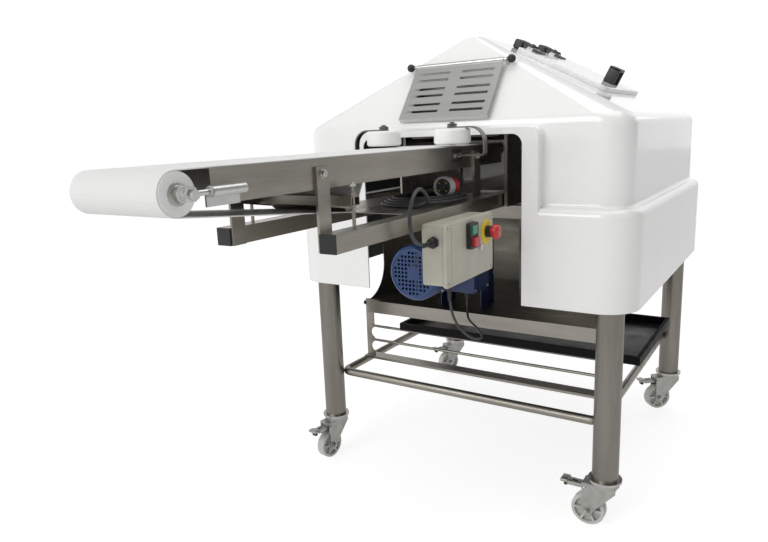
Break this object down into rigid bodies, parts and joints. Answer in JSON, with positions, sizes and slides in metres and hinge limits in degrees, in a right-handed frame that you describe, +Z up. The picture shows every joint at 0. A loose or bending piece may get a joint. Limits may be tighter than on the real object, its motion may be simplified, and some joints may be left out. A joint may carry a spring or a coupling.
{
  "type": "croissant machine",
  "caption": "Croissant forming machine on casters: white canopy over rollers, long front belt conveyor with guide discs, control box, motor, hinged inlet guard and roof hatch.",
  "frame": {"origin": "on the floor under the middle of the whole machine", "axes": "+Z up, -Y along the conveyor towards its free end, +X to the side with the control box"},
  "size_m": [1.15, 2.2632, 1.4778],
  "materials": {
    "shell_white": "glossy white fibreglass",
    "hatch_grey": "pale grey fibreglass",
    "stainless": "brushed stainless steel",
    "bright_zinc": "zinc plated pressed steel",
    "wheel_nylon": "off-white nylon",
    "white_nylon": "white nylon",
    "belt_white": "white food belt",
    "black_plastic": "black plastic",
    "rod_steel": "steel rod with black knobs",
    "tray_black": "black enamel",
    "box_beige": "beige enclosure plastic",
    "motor_blue": "blue paint on cast aluminium",
    "cowl_blue": "blue paint on sheet steel",
    "rotor_steel": "turned metal",
    "chain_steel": "oiled steel",
    "red": "red plastic",
    "green": "green plastic",
    "yellow": "yellow plastic with black neck",
    "key_chrome": "chrome",
    "cable_grey": "dark grey rubber",
    "plug_red": "red plug with a grey ring"
  },
  "bodies": {
    "frame": {"legs": "stainless", "top_frame": "stainless", "lower_rack": "stainless", "drip_pan": "stainless", "canopy": "shell_white", "hatch_hinges": "black_plastic", "guard_rod": "rod_steel", "roller_frame": "stainless", "conveyor_bed": "stainless", "conveyor_belt": "belt_white", "conveyor_frame": "stainless", "tube_caps": "black_plastic", "belt_tensioners": "stainless", "disc_arms": "stainless", "control_box": "box_beige", "box_cover": "box_beige", "button_block": "black_plastic", "estop_collar": "yellow", "cable_glands": "black_plastic", "motor_body": "motor_blue", "fan_cowl": "cowl_blue", "gearbox": "motor_blue", "drive_chain": "chain_steel", "mains_cable": "cable_grey", "mains_coil": "cable_grey", "plug_cable": "cable_grey", "mains_plug": "plug_red", "motor_cable": "cable_grey"},
    "motor_rotor": {"motor_rotor": "rotor_steel"},
    "gearbox_sprocket": {"gearbox_sprocket": "chain_steel"},
    "cutter_drum": {"cutter_drum": "stainless"},
    "sheeter_roller_lower": {"sheeter_roller_lower": "white_nylon"},
    "sheeter_roller_upper": {"sheeter_roller_upper": "white_nylon"},
    "moulding_drum": {"moulding_drum": "stainless"},
    "drive_roller": {"drive_roller": "stainless"},
    "front_roller": {"front_roller": "white_nylon"},
    "tension_frame": {"tension_frame": "stainless"},
    "tension_roller": {"tension_roller": "stainless"},
    "guide_disc_left": {"guide_disc_left": "white_nylon"},
    "guide_disc_right": {"guide_disc_right": "white_nylon"},
    "inlet_guard": {"inlet_guard": "stainless"},
    "roof_hatch": {"roof_hatch": "hatch_grey", "hatch_handle": "black_plastic"},
    "start_button": {"start_button": "green"},
    "stop_button": {"stop_button": "red"},
    "estop_button": {"estop_button": "red"},
    "key_barrel": {"key_barrel": "key_chrome"},
    "baking_tray": {"baking_tray": "tray_black"},
    "caster_fork_fr": {"caster_fork_fr": "bright_zinc"},
    "caster_wheel_fr": {"caster_wheel_fr": "wheel_nylon"},
    "caster_pedal_fr": {"caster_pedal_fr": "bright_zinc"},
    "caster_fork_fl": {"caster_fork_fl": "bright_zinc"},
    "caster_wheel_fl": {"caster_wheel_fl": "wheel_nylon"},
    "caster_pedal_fl": {"caster_pedal_fl": "bright_zinc"},
    "caster_fork_rr": {"caster_fork_rr": "bright_zinc"},
    "caster_wheel_rr": {"caster_wheel_rr": "wheel_nylon"},
    "caster_pedal_rr": {"caster_pedal_rr": "bright_zinc"},
    "caster_fork_rl": {"caster_fork_rl": "bright_zinc"},
    "caster_wheel_rl": {"caster_wheel_rl": "wheel_nylon"},
    "caster_pedal_rl": {"caster_pedal_rl": "bright_zinc"}
  },
  "joints": [
    {"name": "motor_spin", "type": "hinge", "parent": "frame", "child": "motor_rotor", "pos_m": [-0.083, 0.11665, 0.752], "axis": [0, 1, 0], "continuous": true},
    {"name": "output_spin", "type": "hinge", "parent": "frame", "child": "gearbox_sprocket", "pos_m": [-0.16, 0.33665, 0.752], "axis": [1, 0, 0], "continuous": true},
    {"name": "cutter_spin", "type": "hinge", "parent": "frame", "child": "cutter_drum", "pos_m": [0, 0.31365, 1.312], "axis": [1, 0, 0], "continuous": true},
    {"name": "sheeter_lower_spin", "type": "hinge", "parent": "frame", "child": "sheeter_roller_lower", "pos_m": [0, 0.20165, 1.243], "axis": [1, 0, 0], "continuous": true},
    {"name": "sheeter_upper_spin", "type": "hinge", "parent": "frame", "child": "sheeter_roller_upper", "pos_m": [0, 0.20165, 1.33], "axis": [1, 0, 0], "continuous": true},
    {"name": "moulder_spin", "type": "hinge", "parent": "frame", "child": "moulding_drum", "pos_m": [0, 0.10165, 1.203], "axis": [1, 0, 0], "continuous": true},
    {"name": "drive_roller_spin", "type": "hinge", "parent": "frame", "child": "drive_roller", "pos_m": [0, 0.19165, 1.127], "axis": [1, 0, 0], "continuous": true},
    {"name": "front_roller_spin", "type": "hinge", "parent": "frame", "child": "front_roller", "pos_m": [0, -1.09335, 1.107], "axis": [1, 0, 0], "continuous": true},
    {"name": "tension_lift", "type": "hinge", "parent": "frame", "child": "tension_frame", "pos_m": [0, -0.73935, 1.06], "axis": [1, 0, 0], "range_deg": [0, 6]},
    {"name": "tension_roller_spin", "type": "hinge", "parent": "tension_frame", "child": "tension_roller", "pos_m": [0, -0.62835, 1.042], "axis": [1, 0, 0], "continuous": true},
    {"name": "guide_disc_left_spin", "type": "hinge", "parent": "frame", "child": "guide_disc_left", "pos_m": [-0.111, -0.14335, 1.171], "axis": [0, 0, 1], "continuous": true},
    {"name": "guide_disc_right_spin", "type": "hinge", "parent": "frame", "child": "guide_disc_right", "pos_m": [0.111, -0.14335, 1.171], "axis": [0, 0, 1], "continuous": true},
    {"name": "guard_hinge", "type": "hinge", "parent": "frame", "child": "inlet_guard", "pos_m": [0, 0.12877, 1.38832], "axis": [-1, 0, 0], "range_deg": [0, 100]},
    {"name": "hatch_hinge", "type": "hinge", "parent": "frame", "child": "roof_hatch", "pos_m": [0.11881, 0.52865, 1.4519], "axis": [0, -1, 0], "range_deg": [0, 95]},
    {"name": "start_press", "type": "slide", "parent": "frame", "child": "start_button", "axis": [-1, 0, 0], "range_m": [0, 0.004], "stiffness_N_per_m": 300},
    {"name": "stop_press", "type": "slide", "parent": "frame", "child": "stop_button", "axis": [-1, 0, 0], "range_m": [0, 0.004], "stiffness_N_per_m": 300},
    {"name": "estop_press", "type": "slide", "parent": "frame", "child": "estop_button", "axis": [-1, 0, 0], "range_m": [0, 0.005]},
    {"name": "key_turn", "type": "hinge", "parent": "frame", "child": "key_barrel", "pos_m": [0.229, -0.23935, 0.888], "axis": [1, 0, 0], "range_deg": [0, 90]},
    {"name": "tray_slide", "type": "slide", "parent": "frame", "child": "baking_tray", "axis": [1, 0, 0], "range_m": [0, 0.5]},
    {"name": "caster_swivel_fr", "type": "hinge", "parent": "frame", "child": "caster_fork_fr", "pos_m": [0.5, 0.05165, 0.145], "axis": [0, 0, 1], "continuous": true},
    {"name": "caster_roll_fr", "type": "hinge", "parent": "caster_fork_fr", "child": "caster_wheel_fr", "pos_m": [0.455, 0.05165, 0.05], "axis": [0, -1, 0], "continuous": true},
    {"name": "caster_brake_fr", "type": "hinge", "parent": "caster_fork_fr", "child": "caster_pedal_fr", "pos_m": [0.446, 0.05165, 0.1234], "axis": [0, -1, 0], "range_deg": [0, 12]},
    {"name": "caster_swivel_fl", "type": "hinge", "parent": "frame", "child": "caster_fork_fl", "pos_m": [-0.5, 0.05165, 0.145], "axis": [0, 0, 1], "continuous": true},
    {"name": "caster_roll_fl", "type": "hinge", "parent": "caster_fork_fl", "child": "caster_wheel_fl", "pos_m": [-0.50548, 0.00698, 0.05], "axis": [0.9925, -0.1219, 0], "continuous": true},
    {"name": "caster_brake_fl", "type": "hinge", "parent": "caster_fork_fl", "child": "caster_pedal_fl", "pos_m": [-0.50658, -0.00195, 0.1234], "axis": [0.9925, -0.1219, 0], "range_deg": [0, 12]},
    {"name": "caster_swivel_rr", "type": "hinge", "parent": "frame", "child": "caster_fork_rr", "pos_m": [0.5, 1.05165, 0.145], "axis": [0, 0, 1], "continuous": true},
    {"name": "caster_roll_rr", "type": "hinge", "parent": "caster_fork_rr", "child": "caster_wheel_rr", "pos_m": [0.46503, 1.02333, 0.05], "axis": [0.6293, -0.7771, 0], "continuous": true},
    {"name": "caster_brake_rr", "type": "hinge", "parent": "caster_fork_rr", "child": "caster_pedal_rr", "pos_m": [0.45803, 1.01767, 0.1234], "axis": [0.6293, -0.7771, 0], "range_deg": [0, 12]},
    {"name": "caster_swivel_rl", "type": "hinge", "parent": "frame", "child": "caster_fork_rl", "pos_m": [-0.5, 1.05165, 0.145], "axis": [0, 0, 1], "continuous": true},
    {"name": "caster_roll_rl", "type": "hinge", "parent": "caster_fork_rl", "child": "caster_wheel_rl", "pos_m": [-0.5225, 1.01268, 0.05], "axis": [0.866, -0.5, 0], "continuous": true},
    {"name": "caster_brake_rl", "type": "hinge", "parent": "caster_fork_rl", "child": "caster_pedal_rl", "pos_m": [-0.527, 1.00489, 0.1234], "axis": [0.866, -0.5, 0], "range_deg": [0, 12]}
  ],
  "couplings": [
    {"joint": "output_spin", "follows": "motor_spin", "ratio": 0.05},
    {"joint": "cutter_spin", "follows": "motor_spin", "ratio": 0.05},
    {"joint": "sheeter_upper_spin", "follows": "motor_spin", "ratio": 0.061905},
    {"joint": "sheeter_lower_spin", "follows": "motor_spin", "ratio": -0.061905},
    {"joint": "moulder_spin", "follows": "motor_spin", "ratio": 0.05},
    {"joint": "drive_roller_spin", "follows": "motor_spin", "ratio": 0.075},
    {"joint": "front_roller_spin", "follows": "motor_spin", "ratio": 0.033333},
    {"joint": "tension_roller_spin", "follows": "motor_spin", "ratio": 0.066667}
  ]
}
